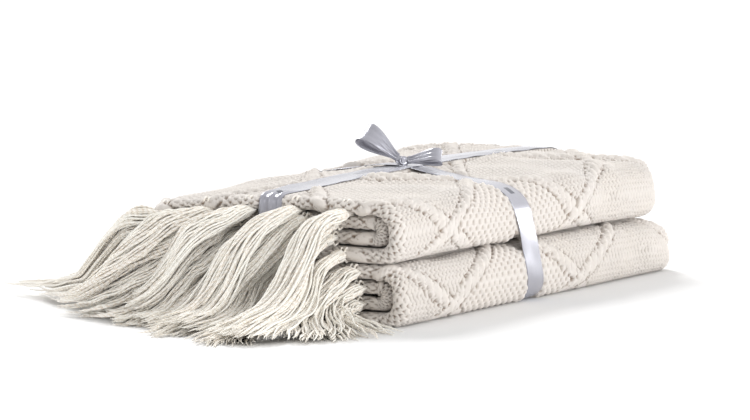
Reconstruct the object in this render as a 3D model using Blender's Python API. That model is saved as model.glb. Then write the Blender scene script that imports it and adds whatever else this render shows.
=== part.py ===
"""Folded cable-knit throw with tasselled ends, tied both ways with satin ribbon and a bow.

One sheet of knit is doubled over its length, its long edges are folded in to the
middle, and it is folded once more like a book, so it lies as an upper and a lower
packet joined along the back. Metres, +Z up. The origin is the middle of the stack's
underside, -Y is the tasselled end and +X the side of the two front folds.
"""
import math

import bmesh
import bpy
from mathutils import Matrix, Vector

# Folded cloth
PLY = 0.0145                    # thickness of one ply of knit
PITCH = 0.018                   # height from one ply to the next
DOUBLE = 2 * PITCH              # a doubled run of cloth
TOP_Z = 8 * PITCH               # height of the eight plies before they settle
END_Y = -0.364                  # tasselled end
FOLD_Y_UPPER = 0.312            # far fold of the upper packet
FOLD_Y_MIDDLE = 0.320           # far fold of the run under the parting
FOLD_Y_LOWER = 0.364            # far fold of the bottom run
FOLD_REACH = 2.2                # how much longer than thick a far fold is
FOLD_POWER = 2.4                # how square a far fold is, as a superellipse
RUN_Y_NEAR = -0.220             # two rows of points along a run, before its far fold
RUN_Y_FAR = 0.160
FRONT_X_UPPER = 0.150
FRONT_X_LOWER = 0.155
BACK_X = -0.152
SELVEDGE_X = -0.104             # where the two long edges stop, inside the spine
INNER_SETBACK = 0.006           # inner plies stop this much short at the tasselled end
SPINE_DEPTH = 0.024
SETTLED = (                     # height against the plain stack: back, middle, front
    (0.83, 0.92, 0.88),         # at the tasselled end
    (1.01, 1.04, 0.96),         # half-way along
    (1.04, 1.04, 0.91),         # at the far folds
)

# Ribbon
RIBBON_WIDTH = 0.040
RIBBON_BUNCHED = 0.027          # width where it is drawn in at the tasselled end
RIBBON_THICK = 0.0005
CROSSING_Y = -0.075             # where the two bands cross
RIBBON_SLANT = 0.30             # lean of the crosswise band down the front folds
SLANT_Z = 0.093                 # height where that band is level with the crossing
GROOVE = 0.0018                 # depth the ribbon presses into the underside
GROOVE_HALF = RIBBON_WIDTH / 2 + 0.004
GROOVE_SIDE = 0.004             # width of a groove's sloping side
GAP = 0.0006

# Bow
KNOT_SIZE = (0.020, 0.017, 0.013)
LOOP_STEPS = 18

# Tassels
LAYERS = 8
ROOTS_X = (-0.124, -0.074, -0.026, 0.030, 0.086)
BEND_OUT = (0.046, 0.080, 0.074, 0.066, 0.062)
TIPS_ON_TOP = ((-0.412, -0.222), (-0.245, -0.388), (-0.130, -0.448), (-0.028, -0.530),
               (0.062, -0.590))
TIPS_UNDER = ((-0.200, -0.415), (-0.105, -0.490), (-0.010, -0.560), (0.078, -0.592),
              (0.162, -0.560))
ROOT_GAP = 0.0024               # from the ply's edge to the start of the head
HEAD_HALF = 0.0056
SKIRT_HALF = 0.025
LAYER_FILL = 0.72               # share of the room between its neighbours a skirt takes
TASSEL_SIDES = 8
TASSEL_RINGS = (0.0, 0.02, 0.07, 0.14, 0.22, 0.32, 0.43, 0.57, 0.72, 0.87, 1.0)
PILE_NEAR = 0.0062              # thickness of one layer of fringe close to the stack
PILE_FAR = 0.0028               # and at its tips
FRINGE_REACH = 0.27
FLOOR_GAP = 0.0006

CREAM = (0.80, 0.75, 0.66)
YARN = (0.86, 0.82, 0.74)
SILVER = (0.55, 0.56, 0.61)


def clear_scene():
    for existing in list(bpy.data.objects):
        bpy.data.objects.remove(existing, do_unlink=True)


def principled(name, colour, roughness, metallic=0.0):
    material = bpy.data.materials.new(name)
    material.use_nodes = True
    shader = material.node_tree.nodes["Principled BSDF"]
    shader.inputs["Base Color"].default_value = (*colour, 1.0)
    shader.inputs["Roughness"].default_value = roughness
    shader.inputs["Metallic"].default_value = metallic
    return material


def add_object(name, verts, faces, colour, roughness, metallic=0.0):
    """Make one named object whose faces all point out."""
    mesh = bpy.data.meshes.new(name)
    mesh.from_pydata(verts, [], faces)
    shape = bmesh.new()
    shape.from_mesh(mesh)
    bmesh.ops.recalc_face_normals(shape, faces=shape.faces)
    shape.to_mesh(mesh)
    shape.free()
    mesh.shade_smooth()
    mesh.set_sharp_from_angle(angle=math.radians(50))
    made = bpy.data.objects.new(name, mesh)
    made.data.materials.append(principled(name, colour, roughness, metallic))
    bpy.context.scene.collection.objects.link(made)
    return made


def spread(start, end, count):
    """Evenly spaced values from start to end, both included."""
    return [start + (end - start) * i / (count - 1) for i in range(count)]


def smooth(value):
    value = min(1.0, max(0.0, value))
    return value * value * (3.0 - 2.0 * value)


def rounded(cosine, sine, power):
    """A point of the unit superellipse in the direction of the given cosine and sine."""
    return (math.copysign(abs(cosine) ** (2.0 / power), cosine),
            math.copysign(abs(sine) ** (2.0 / power), sine))


# The folded cloth. A station is one place along the cloth's width; r is the distance
# from the middle of the doubled run, positive on the side that ends up outside.

def run(x_start, x_end, height, side, count, far):
    return [("run", x, height, side, far) for x in spread(x_start, x_end, count)]


def turn(centre, height, half, start, end, count, far_start, far_end):
    """Stations round a fold, leaving out its two ends, which the runs make."""
    steps = range(1, count)
    return [("turn", centre, height, half, math.radians(start + (end - start) * i / count),
             far_start + (far_end - far_start) * i / count) for i in steps]


def stations():
    half_run = DOUBLE / 2
    front_upper = FRONT_X_UPPER - DOUBLE / 2 - (PITCH + PLY) / 2
    front_lower = FRONT_X_LOWER - DOUBLE / 2 - (PITCH + PLY) / 2
    spine = BACK_X + SPINE_DEPTH + (PITCH + PLY) / 2
    path = run(SELVEDGE_X, front_upper, 5 * PITCH, -1, 4, FOLD_Y_UPPER)
    path += turn(front_upper, 6 * PITCH, (half_run, half_run), -90, 90, 8,
                 FOLD_Y_UPPER, FOLD_Y_UPPER)
    path += run(front_upper, spine, 7 * PITCH, 1, 6, FOLD_Y_UPPER)
    path += turn(spine, 4 * PITCH, (SPINE_DEPTH, 3 * PITCH), 90, 270, 10,
                 FOLD_Y_UPPER, FOLD_Y_LOWER)
    outside = GROOVE_HALF + GROOVE_SIDE
    for x in (spine, -outside, -GROOVE_HALF, GROOVE_HALF, outside, front_lower):
        path.append(("run", x, PITCH, -1, FOLD_Y_LOWER))
    path += turn(front_lower, DOUBLE, (half_run, half_run), -90, 90, 8,
                 FOLD_Y_LOWER, FOLD_Y_MIDDLE)
    path += run(front_lower, SELVEDGE_X, 3 * PITCH, 1, 4, FOLD_Y_MIDDLE)
    return path


def through(values, t):
    """The smooth curve through three values at t = 0, 0.5 and 1."""
    first, middle, last = values
    return (first * (1 - t) * (1 - 2 * t) + 4 * middle * t * (1 - t) + last * t * (2 * t - 1))


def settled(x, y, z):
    """The height of a point once the stack has settled unevenly."""
    across = (x - BACK_X) / (FRONT_X_LOWER - BACK_X)
    along = (y - END_Y) / (FOLD_Y_LOWER - END_Y)
    share = through([through(row, across) for row in SETTLED], along)
    return (z - (PITCH - PLY) / 2) * share


def cloth_point(station, r, y):
    """A point of the cloth at a station, a distance r from the run's middle, at y."""
    if station[0] == "run":
        _, x, height, side, _ = station
        z = height + side * r
    else:
        _, centre, height, half, angle, _ = station
        power = 2.0 + 0.8 * (r + PITCH) / (2 * PITCH)
        out, up = rounded(math.cos(angle), math.sin(angle), power)
        x = centre + (half[0] + r) * out
        z = height + (half[1] + r) * up
    return x, y, settled(x, y, z)


def groove_depth(x, y):
    """How far the underside is pushed up where the ribbon passes below it."""
    reach = GROOVE_HALF + 1e-6
    inside = abs(x) <= reach or abs(y - under_crossing()) <= reach
    return GROOVE if inside else 0.0


def under_crossing():
    """Where the crosswise band lies along Y under the stack."""
    return CROSSING_Y + RIBBON_SLANT * SLANT_Z


def hairpin(station):
    """The doubled cloth at one station: the outer skin's points, then the inner one's."""
    far = station[-1]
    outer = PITCH / 2 + PLY / 2
    inner = PITCH / 2 - PLY / 2
    reach = FOLD_REACH * outer
    middle = under_crossing()
    start = far - reach
    outside = GROOVE_HALF + GROOVE_SIDE
    marks = [middle - outside, middle - GROOVE_HALF, middle + GROOVE_HALF, middle + outside]
    ahead = [END_Y, RUN_Y_NEAR] + marks + [RUN_Y_FAR, start]
    back = [start, RUN_Y_FAR, middle, RUN_Y_NEAR, END_Y + INNER_SETBACK]
    skins = []
    for radius, length in ((outer, reach), (inner, reach - PLY)):
        points = [(radius, y) for y in ahead]
        for step in range(1, 6):
            angle = math.pi * step / 6
            out, up = rounded(math.sin(angle), math.cos(angle), FOLD_POWER)
            points.append((radius * up, start + length * out))
        points += [(-radius, y) for y in back]
        skins.append([cloth_point(station, r, y) for r, y in points])
    if station[0] == "run" and station[2] == PITCH:
        for i, (x, y, z) in enumerate(skins[0][:len(ahead)]):
            skins[0][i] = (x, y, z + groove_depth(x, y))
    return skins


def throw_panel():
    """The whole throw as one folded sheet with a ply's thickness."""
    columns = [hairpin(station) for station in stations()]
    count = len(columns[0][0])
    verts = []
    for outer, inner in columns:
        verts += outer + inner[::-1]
    loop = 2 * count
    faces = []
    for i in range(len(columns) - 1):
        for j in range(loop):
            k = (j + 1) % loop
            faces.append((i * loop + j, i * loop + k, (i + 1) * loop + k, (i + 1) * loop + j))
    for first in (0, (len(columns) - 1) * loop):
        for j in range(count - 1):
            faces.append((first + j, first + j + 1, first + loop - 2 - j, first + loop - 1 - j))
    return add_object("throw_panel", verts, faces, CREAM, 0.95)


# Ribbon bands, drawn tight round the stack

def hull(points):
    """The convex outline of flat points, turning left."""
    def chain(ordered):
        kept = []
        for p in ordered:
            while len(kept) > 1 and cross(kept[-2], kept[-1], p) <= 1e-9:
                kept.pop()
            kept.append(p)
        return kept[:-1]

    def cross(a, b, c):
        return (b[0] - a[0]) * (c[1] - a[1]) - (b[1] - a[1]) * (c[0] - a[0])

    ordered = sorted(set(points))
    return chain(ordered) + chain(ordered[::-1])


def thinned(outline, least):
    """The outline with points nearer than least to the one before left out."""
    kept = [outline[0]]
    for p in outline[1:]:
        if math.dist(p, kept[-1]) > least and math.dist(p, outline[0]) > least:
            kept.append(p)
    return kept


def grown(outline, distance):
    """A convex outline that turns left, moved outwards by a distance."""
    count = len(outline)
    result = []
    for i in range(count):
        before = Vector(outline[i - 1])
        here = Vector(outline[i])
        after = Vector(outline[(i + 1) % count])
        a = (here - before).normalized()
        b = (after - here).normalized()
        normal_a = Vector((a.y, -a.x))
        normal_b = Vector((b.y, -b.x))
        middle = (normal_a + normal_b).normalized()
        result.append(here + middle * distance / max(0.5, middle.dot(normal_a)))
    return result


def band(name, outline, place, width):
    """A ribbon ring: place turns a flat point and a sideways offset into a 3-D point."""
    verts = []
    faces = []
    inner = grown(outline, GAP)
    outer = grown(outline, GAP + RIBBON_THICK)
    for near, away in zip(inner, outer):
        half = width(near) / 2
        verts += [place(near, -half), place(near, half), place(away, half), place(away, -half)]
    count = len(inner)
    for i in range(count):
        for j in range(4):
            k = (j + 1) % 4
            n = (i + 1) % count
            faces.append((4 * i + j, 4 * i + k, 4 * n + k, 4 * n + j))
    return add_object(name, verts, faces, SILVER, 0.3)


def far_outline(x):
    """Side outline of the stack at x: the top run, the far folds and the floor."""
    reach = PITCH / 2 + PLY / 2
    points = []
    for far, height, side in ((FOLD_Y_UPPER, 7 * PITCH, 1), (FOLD_Y_LOWER, PITCH, -1)):
        start = far - FOLD_REACH * reach
        station = ("run", x, height, side, far)
        for y in spread(END_Y, start, 12):
            points.append(cloth_point(station, reach, y)[1:])
        for step in range(1, 8):
            angle = math.pi * step / 8
            out, up = rounded(math.sin(angle), math.cos(angle), FOLD_POWER)
            points.append(cloth_point(station, reach * up, start + FOLD_REACH * reach * out)[1:])
    return points


def lengthwise_outline():
    points = []
    for x in spread(-RIBBON_WIDTH / 2, RIBBON_WIDTH / 2, 3):
        points += far_outline(x)
    floor = GAP + RIBBON_THICK
    return thinned(hull([(y, max(z, floor)) for y, z in points]), 0.003)


def lengthwise_band(outline):
    def width(point):
        drawn_in = smooth((point[0] - END_Y - 0.008) / 0.05)
        return RIBBON_BUNCHED + (RIBBON_WIDTH - RIBBON_BUNCHED) * drawn_in

    return band("ribbon_lengthwise", outline, lambda p, off: (off, p[0], p[1]), width)


def crossing_height(outline):
    """Height of the lengthwise ribbon's upper face where the other one crosses it."""
    def height(y):
        above = [p for p in outline if p[1] > TOP_Z / 2]
        left = max((p for p in above if p[0] <= y), key=lambda p: p[0])
        right = min((p for p in above if p[0] > y), key=lambda p: p[0])
        return left[1] + (right[1] - left[1]) * (y - left[0]) / (right[0] - left[0])

    reach = RIBBON_WIDTH / 2 + 0.006
    return max(height(CROSSING_Y - reach), height(CROSSING_Y + reach)) + GAP + RIBBON_THICK


def crosswise_band(crossing):
    points = []
    reach = PITCH / 2 + PLY / 2
    for y in spread(CROSSING_Y - 0.03, CROSSING_Y + 0.045, 4):
        for station in stations():
            x, _, z = cloth_point(station, reach, y)
            points.append((x, max(z, GROOVE)))
    over = [(-RIBBON_WIDTH / 2, crossing), (RIBBON_WIDTH / 2, crossing)]
    outline = hull(thinned(hull(points), 0.004) + over)

    def place(point, off):
        lean = max(smooth((point[0] + 0.02) / 0.15), 1 - smooth(point[1] / (TOP_Z / 3)))
        return point[0], CROSSING_Y + slant(point) * lean + off, point[1]

    def slant(point):
        return RIBBON_SLANT * (SLANT_Z - point[1])

    return band("ribbon_crosswise", outline, place, lambda point: RIBBON_WIDTH)


# The bow

def bow_centre(crossing):
    """The middle of the knot, which sits on the crosswise ribbon."""
    return Vector((0.0, CROSSING_Y, crossing + RIBBON_THICK + 2 * GAP + KNOT_SIZE[2] / 2 + GAP))


def bow_knot(centre):
    """The pinched wrap of ribbon in the middle of the bow."""
    shape = bmesh.new()
    bmesh.ops.create_uvsphere(shape, u_segments=12, v_segments=8, radius=0.5)
    for vert in shape.verts:
        for axis in range(3):
            value = 2 * vert.co[axis]
            vert.co[axis] = math.copysign(abs(value) ** 0.8, value) / 2 * KNOT_SIZE[axis]
        vert.co += centre
    verts = [tuple(vert.co) for vert in shape.verts]
    faces = [tuple(vert.index for vert in face.verts) for face in shape.faces]
    shape.free()
    return add_object("bow_knot", verts, faces, SILVER, 0.3)


def bow_loop(name, centre, heading, rise, roll, length, opening):
    """A teardrop loop of ribbon that leaves the knot at a heading and a rise."""
    aim = Matrix.Rotation(math.radians(heading), 4, "Z") @ Matrix.Rotation(
        -math.radians(rise), 4, "Y") @ Matrix.Rotation(math.radians(roll), 4, "X")
    clear = KNOT_SIZE[0] / 2 + 0.0016
    verts = []
    for i in range(LOOP_STEPS):
        angle = 2 * math.pi * (i + 0.5) / LOOP_STEPS
        swing = (1 - math.cos(angle)) / 2
        along = clear + length * swing ** 0.8
        aside = opening / 2 * math.sin(angle) * (0.12 + 0.88 * swing ** 0.7)
        half = (0.007 + (RIBBON_WIDTH * 0.42 - 0.007) * swing ** 0.7)
        slope = Vector((math.cos(angle), math.sin(angle)))
        for offset in (0.0, RIBBON_THICK * 1.6):
            push = Vector((-slope.x, slope.y)) * offset
            for side in ((-half, half) if offset == 0.0 else (half, -half)):
                local = Vector((along + push.x, side, aside + push.y))
                verts.append(tuple(centre + aim @ local))
    faces = []
    for i in range(LOOP_STEPS):
        n = (i + 1) % LOOP_STEPS
        for j in range(4):
            k = (j + 1) % 4
            faces.append((4 * i + j, 4 * i + k, 4 * n + k, 4 * n + j))
    return add_object(name, verts, faces, SILVER, 0.3)


# The fringe. Every tassel sweeps from its root to its tip in plan, and lies in its ply's
# layer, which drops from the end of the ply to the pile on the floor.

def tassel_route(layer, number):
    """Root, bend and tip of a tassel, seen from above."""
    stagger = 0.0 if number in (2, 3) else 0.003 * math.sin(2.4 * layer + number)
    root = Vector((ROOTS_X[number] + stagger, END_Y - ROOT_GAP))
    bend = root + Vector((-0.038 + 0.004 * number, -BEND_OUT[number]))
    tip = Vector(TIPS_UNDER[number]).lerp(Vector(TIPS_ON_TOP[number]), smooth(layer / (LAYERS - 1)))
    short = 0.05 * (0.5 + 0.5 * math.sin(1.7 * layer + 2.3 * number))
    return root, bend, tip.lerp(root, short)


def route_point(route, way, aside):
    """A plan point a share of the way along a route and a distance to its front side."""
    root, bend, tip = route
    before = root.lerp(bend, way)
    after = bend.lerp(tip, way)
    heading = (after - before).normalized()
    return before.lerp(after, way) + Vector((-heading.y, heading.x)) * aside


def away_from_stack(x, y):
    return math.hypot(max(BACK_X - x, 0.0), max(END_Y - y, 0.0))


def layer_height(layer, x, y):
    """Height of the middle of a layer of fringe over a plan point."""
    if layer < 0:
        return -layer_height(0, x, y)
    away = away_from_stack(x, y)
    each = PILE_NEAR + (PILE_FAR - PILE_NEAR) * away / FRINGE_REACH
    pile = FLOOR_GAP + (layer + 0.5) * each
    face = settled(min(max(x, BACK_X), FRONT_X_UPPER), END_Y, (layer + 0.5) * PITCH)
    share = away / (0.055 + 0.011 * layer)
    drop = (1 - share) ** 2 * (1 + 2 * share) if share < 1 else 0.0
    return pile + (face - pile) * drop


def tassel(layer, number):
    """One tassel: a pinched head at the ply's end, then a flat, widening skirt."""
    route = tassel_route(layer, number)
    verts = []
    for ring in TASSEL_RINGS:
        pinch = 0.35 if ring == 0.0 else 1.0
        half = (HEAD_HALF + (SKIRT_HALF - HEAD_HALF) * ring ** 1.8) * pinch
        for side in range(TASSEL_SIDES):
            angle = 2 * math.pi * (side + 0.5) / TASSEL_SIDES
            way = ring * 0.996 + 0.004
            x, y = route_point(route, way, half * math.cos(angle))
            here = layer_height(layer, x, y)
            room = min(layer_height(layer + 1, x, y) - here, here - layer_height(layer - 1, x, y))
            thick = min(LAYER_FILL * room, 2 * HEAD_HALF) * pinch
            verts.append((x, y, here + thick / 2 * math.sin(angle)))
    last = (len(TASSEL_RINGS) - 1) * TASSEL_SIDES
    faces = [tuple(range(TASSEL_SIDES)), tuple(last + side for side in range(TASSEL_SIDES))]
    for ring in range(len(TASSEL_RINGS) - 1):
        for side in range(TASSEL_SIDES):
            after = (side + 1) % TASSEL_SIDES
            a = ring * TASSEL_SIDES
            b = a + TASSEL_SIDES
            faces.append((a + side, a + after, b + after))
            faces.append((a + side, b + after, b + side))
    return add_object(f"tassel_{layer + 1}_{number + 1}", verts, faces, YARN, 0.9)


clear_scene()
throw_panel()
ribbon_outline = lengthwise_outline()
ribbon_top = crossing_height(ribbon_outline)
lengthwise_band(ribbon_outline)
crosswise_band(ribbon_top)
bow_middle = bow_centre(ribbon_top)
bow_knot(bow_middle)
bow_loop("bow_loop_back", bow_middle, 200, 30, 62, 0.044, 0.024)
bow_loop("bow_loop_front", bow_middle, 22, 14, 20, 0.033, 0.018)
for layer_index in range(LAYERS):
    for root_index in range(len(ROOTS_X)):
        tassel(layer_index, root_index)
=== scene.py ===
"""The look of a folded cable-knit throw with tasselled ends, tied with satin ribbon and a bow."""

import math

import bpy
import numpy as np
from bpy.props import FloatProperty, FloatVectorProperty, IntProperty, PointerProperty
from mathutils import Matrix, Vector


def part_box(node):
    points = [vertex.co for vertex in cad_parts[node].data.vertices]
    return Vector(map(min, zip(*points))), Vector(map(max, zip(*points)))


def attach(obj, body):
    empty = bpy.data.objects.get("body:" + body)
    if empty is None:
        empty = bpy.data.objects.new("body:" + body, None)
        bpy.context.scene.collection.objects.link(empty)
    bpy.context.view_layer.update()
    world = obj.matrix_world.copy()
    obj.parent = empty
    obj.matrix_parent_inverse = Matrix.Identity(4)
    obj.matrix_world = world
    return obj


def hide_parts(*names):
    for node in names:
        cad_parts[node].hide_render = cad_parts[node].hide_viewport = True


bl_info = {
    "name": "Folded Cable Throw",
    "version": (1, 0, 0),
    "blender": (4, 5, 0),
    "location": "View3D > Sidebar > Throw",
    "description": "Builds a folded cable-knit throw with yarn tassels, satin ribbon and a bow",
    "category": "Object",
}

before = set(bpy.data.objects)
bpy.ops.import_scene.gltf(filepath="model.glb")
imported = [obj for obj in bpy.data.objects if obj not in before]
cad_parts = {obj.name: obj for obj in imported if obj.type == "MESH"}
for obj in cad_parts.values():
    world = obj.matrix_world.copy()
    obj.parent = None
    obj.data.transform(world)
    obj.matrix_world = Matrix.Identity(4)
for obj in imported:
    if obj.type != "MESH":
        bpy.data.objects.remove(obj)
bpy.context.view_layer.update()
TURN = 2 * math.pi

# Folded cloth, as in the part
PLY = 0.0145  # thickness of one ply of knit
PITCH = 0.018  # height from one ply to the next
DOUBLE = 2 * PITCH
END_Y = -0.364  # tasselled end
FOLD_Y_UPPER = 0.312
FOLD_Y_MIDDLE = 0.320
FOLD_Y_LOWER = 0.364
FOLD_REACH = 2.2  # how far a closed fold at the far end is drawn out
FRONT_X_UPPER = 0.150
FRONT_X_LOWER = 0.155
BACK_X = -0.152
SELVEDGE_X = -0.104
INNER_SETBACK = 0.006
SPINE_DEPTH = 0.024
SETTLED = (  # share of its height kept: back to front, at the fringe, middle and far end
    (0.83, 0.92, 0.88),
    (1.01, 1.04, 0.96),
    (1.04, 1.04, 0.91),
)
OUTER = PITCH / 2 + PLY / 2  # from the middle of a doubled run to its outer skin
INNER = PITCH / 2 - PLY / 2
RIM_DEPTH = 0.0105  # how far the rounding of a ply's edge reaches in

# Ribbon, as in the part
CROSSING_Y = -0.075
RIBBON_SLANT = 0.30
SLANT_Z = 0.093  # height at which the slanting run passes the crossing's y
SLANT_END_Z = 0.048  # the lean dies out below this height
KNOT_SIZE = (0.020, 0.017, 0.013)
BOW_DROP = 0.0035  # how far the knot sinks into the pile

# Fringe, as in the part
LAYERS = 8
ROOTS_X = (-0.124, -0.074, -0.026, 0.030, 0.086)
BEND_OUT = (0.046, 0.080, 0.074, 0.066, 0.062)
TIPS_ON_TOP = ((-0.412, -0.222), (-0.245, -0.388), (-0.130, -0.448), (-0.028, -0.530),
               (0.062, -0.590))
TIPS_UNDER = ((-0.200, -0.415), (-0.105, -0.490), (-0.010, -0.560), (0.078, -0.592),
              (0.162, -0.560))
ROOT_GAP = 0.0024
HEAD_HALF = 0.0056
WIDE_HEADS = (0.015, 0.017, 0.015, 0.010, 0.0075)  # half widths of the top heads, spread out
PILE_NEAR = 0.0062
PILE_FAR = 0.0028
FRINGE_REACH = 0.27
FLOOR_GAP = 0.0006
THIN_TIPS = 0.5  # how much lower the pile of fringe gets towards its tips
LOW_FRONT = 0.014  # half width and shift of the lowest front heads
HEAD_SUNK = 0.007  # how far the top heads sink into the edge
GOLDEN_TURN = 2.39996  # turn from one strand of a bunch to the next
STRAND_RINGS = 44
TUBE_SIDES = 6
TWIST_LENGTH = 0.0065  # of yarn for one turn of its plies

# Knit detail
HIDDEN_STEP = 0.0024  # spacing of mesh points where the cloth is folded away
SWELL = 0.0016  # how far plies swell to meet each other at their edges
RIBBON_HALF = 0.020
DRAWN_HALF = 0.0135  # half width of the lengthwise band at the tasselled end
RIBBON_COLUMNS = 25
BAND_STEP = 0.0022  # spacing of points along a band
BAND_ROUNDING = 26  # smoothing passes over a band's line
UNDER_RIBBON = 0.0005  # how far the cloth stays inside the ribbon
MARK_PITCH = 0.171  # from one printed square to the next
MARK_HALF = 0.0054
MARK_Y = 0.055  # where the first square lies on the lengthwise band
MARK_X = 0.136  # and on the crosswise band
SQUARENESS = 0.8  # of the fold along which the cloth's width is measured
FULL_FOLD = 1.2  # how square a fold is where nothing ties it
TIED_FOLD = 0.25  # and where the ribbon pulls it round
TIED_REACH = 0.10  # how far from the crosswise band its fold stays rounder
PRESSED = 0.0085  # how far the crosswise band presses down the front and back edges
CABLE_ACROSS_FIRST = -0.006  # the crossing on the upper fold, from the fold's middle
CABLE_ACROSS_LAST = -0.020  # the crossing on the lower fold
CABLE_HALVES = 8  # half diamonds across the cloth between those two
CABLE_HALF_Y = 0.160  # half a diamond along the cloth
CABLE_START_Y = 0.066
LEG_LEAN = math.radians(24)

# Studio
BRIGHT_SIDE = (0.50, 0.60, -0.62)  # the side of the studio that is brightest
DIM_SIDE = 0.60  # light from the opposite side, against the brightest
SKY_SPAN = (-0.62, 0.17)  # how far a direction faces the bright side, dim to bright
LAMPS = (  # share of the main power, place, size
    ("key", 1.0, (3.0, -0.7, 0.42), (0.9, 0.7)),
    ("back", 0.45, (1.35, 2.7, 0.26), (0.7, 0.2)),
    ("fill", 0.15, (-0.5, -2.3, 1.3), (1.0, 1.0)),
)
LAMP_AIM = (0.0, 0.0, 0.05)
SUN_WAY = (0.6, -0.45, -0.66)
SUN_ANGLE = 26
FLOOR_HALF = 9.0
CAMERA_PLACE = (1.5139, -2.9484, 0.3402)
CAMERA_TURN = (85.70, 0.0, 28.32)
SENSOR = 36.0


class ThrowKnitSettings(bpy.types.PropertyGroup):
    """Sizes and colours of the knitted panel."""
    wale: FloatProperty(
        name="Wale", description="Width of one column of stitches",
        default=0.0061, unit="LENGTH")
    stitch: FloatProperty(
        name="Stitch", description="Length of one stitch",
        default=0.0086, unit="LENGTH")
    depth: FloatProperty(
        name="Stitch depth", description="Depth of the pits between stitches",
        default=0.0031, unit="LENGTH")
    cable: FloatProperty(
        name="Cable width", description="Half the width of a cable",
        default=0.0084, unit="LENGTH")
    raised: FloatProperty(
        name="Cable height", description="How far a cable stands above the knit",
        default=0.0052, unit="LENGTH")
    mesh_step: FloatProperty(
        name="Mesh step", description="Spacing of mesh points where the cloth shows",
        default=0.00125, unit="LENGTH", precision=5)
    wool: FloatVectorProperty(
        name="Wool", description="Colour of the knit", subtype="COLOR",
        default=(0.71, 0.673, 0.645))
    # Painted shade: the wool is darkened towards this colour in the pits between stitches and in
    # the holes along the cables.
    shaded_pit: FloatVectorProperty(
        name="Pits", description="Colour down between the stitches", subtype="COLOR",
        default=(0.20, 0.13, 0.075))


class ThrowFringeSettings(bpy.types.PropertyGroup):
    """Sizes and colours of the tassels."""
    strands: IntProperty(
        name="Strands", description="Yarn ends in a tassel that shows", default=46)
    strands_under: IntProperty(
        name="Strands under", description="Yarn ends in a tassel under others", default=30)
    thickness: FloatProperty(
        name="Yarn radius", description="Radius of one yarn", default=0.00112,
        unit="LENGTH", precision=5)
    spread: FloatProperty(
        name="Spread", description="Half the width of a tassel at its tip",
        default=0.027, unit="LENGTH")
    yarn: FloatVectorProperty(
        name="Yarn", description="Colour of the yarn", subtype="COLOR",
        default=(0.95, 0.91, 0.85))
    # Painted shade in the grooves between the yarn's plies.
    yarn_shade: FloatVectorProperty(
        name="Yarn shade", description="Colour in the twists of the yarn", subtype="COLOR",
        default=(0.76, 0.66, 0.54))


class ThrowRibbonSettings(bpy.types.PropertyGroup):
    """Sizes and colours of the ribbon and the bow."""
    thickness: FloatProperty(
        name="Thickness", description="Thickness of the satin", default=0.0004,
        unit="LENGTH", precision=5)
    satin: FloatVectorProperty(
        name="Satin", description="Colour of the satin", subtype="COLOR",
        default=(0.43, 0.43, 0.48))
    squares: FloatVectorProperty(
        name="Squares", description="Colour of the small printed squares", subtype="COLOR",
        default=(0.085, 0.09, 0.12))
    loop_width: FloatProperty(
        name="Loop width", description="Width of the ribbon in the bow's loops",
        default=0.0336, unit="LENGTH")


class ThrowStageSettings(bpy.types.PropertyGroup):
    """Floor, light and camera."""
    floor: FloatVectorProperty(
        name="Floor", description="Colour of the floor", subtype="COLOR",
        default=(0.87, 0.87, 0.87))
    sky: FloatProperty(
        name="Sky", description="Strength of the even light", default=1.08)
    sun: FloatProperty(
        name="Sun", description="Strength of the soft light from behind", default=2.35)
    key: FloatProperty(
        name="Key", description="Power of the main light", default=30.0, unit="POWER")
    lens: FloatProperty(
        name="Lens", description="Focal length", default=140.0, unit="CAMERA")


def smooth(value):
    value = np.clip(value, 0.0, 1.0)
    return value * value * (3.0 - 2.0 * value)


def through(values, t):
    """The smooth curve through three values at t = 0, 0.5 and 1."""
    first, middle, last = values
    return first * (1 - t) * (1 - 2 * t) + 4 * middle * t * (1 - t) + last * t * (2 * t - 1)


def settled(x, y, z):
    """The height of a point once the stack has settled unevenly."""
    across = (x - BACK_X) / (FRONT_X_LOWER - BACK_X)
    along = (y - END_Y) / (FOLD_Y_LOWER - END_Y)
    share = through([through(row, across) for row in SETTLED], along)
    near_band = np.exp(-((y - CROSSING_Y - 0.01) / 0.13) ** 2)
    sides = smooth((x + 0.02) / 0.13) + smooth((-x - 0.02) / 0.12)
    pressed = PRESSED * sides * near_band * (z / (LAYERS * PITCH)) ** 2
    return (z - (PITCH - PLY) / 2) * share - pressed


def rounded(cosine, sine, power):
    """A point of the unit superellipse in the direction of the cosine and sine."""
    return (np.sign(cosine) * np.abs(cosine) ** (2.0 / power),
            np.sign(sine) * np.abs(sine) ** (2.0 / power))


def wander(a, b, length, seed):
    """A slow random wave over the plane, between about -1 and 1."""
    draw = np.random.default_rng(seed)
    total = np.zeros(np.broadcast(a, b).shape)
    for _ in range(5):
        turn = draw.uniform(0, TURN)
        size = length * draw.uniform(0.7, 1.5)
        phase = draw.uniform(0, TURN)
        across = (a * math.cos(turn) + b * math.sin(turn)) / size
        total = total + np.sin(TURN * across + phase)
    return total / 3.2


def new_mesh(name, points, quads, polygons=()):
    """An object from an array of points, an array of quads and a few larger faces."""
    mesh = bpy.data.meshes.new(name)
    mesh.vertices.add(len(points))
    mesh.vertices.foreach_set("co", np.asarray(points, np.float32).ravel())
    corners = np.concatenate([np.asarray(quads, np.int32).ravel(),
                              *[np.asarray(p, np.int32) for p in polygons]])
    counts = np.concatenate([np.full(len(quads), 4), [len(p) for p in polygons]]).astype(np.int32)
    starts = np.concatenate([[0], np.cumsum(counts)[:-1]]).astype(np.int32)
    mesh.loops.add(len(corners))
    mesh.loops.foreach_set("vertex_index", corners)
    mesh.polygons.add(len(counts))
    mesh.polygons.foreach_set("loop_start", starts)
    mesh.update(calc_edges=True)
    mesh.validate()
    mesh.shade_smooth()
    made = bpy.data.objects.new(name, mesh)
    bpy.context.scene.collection.objects.link(made)
    return made


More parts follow.
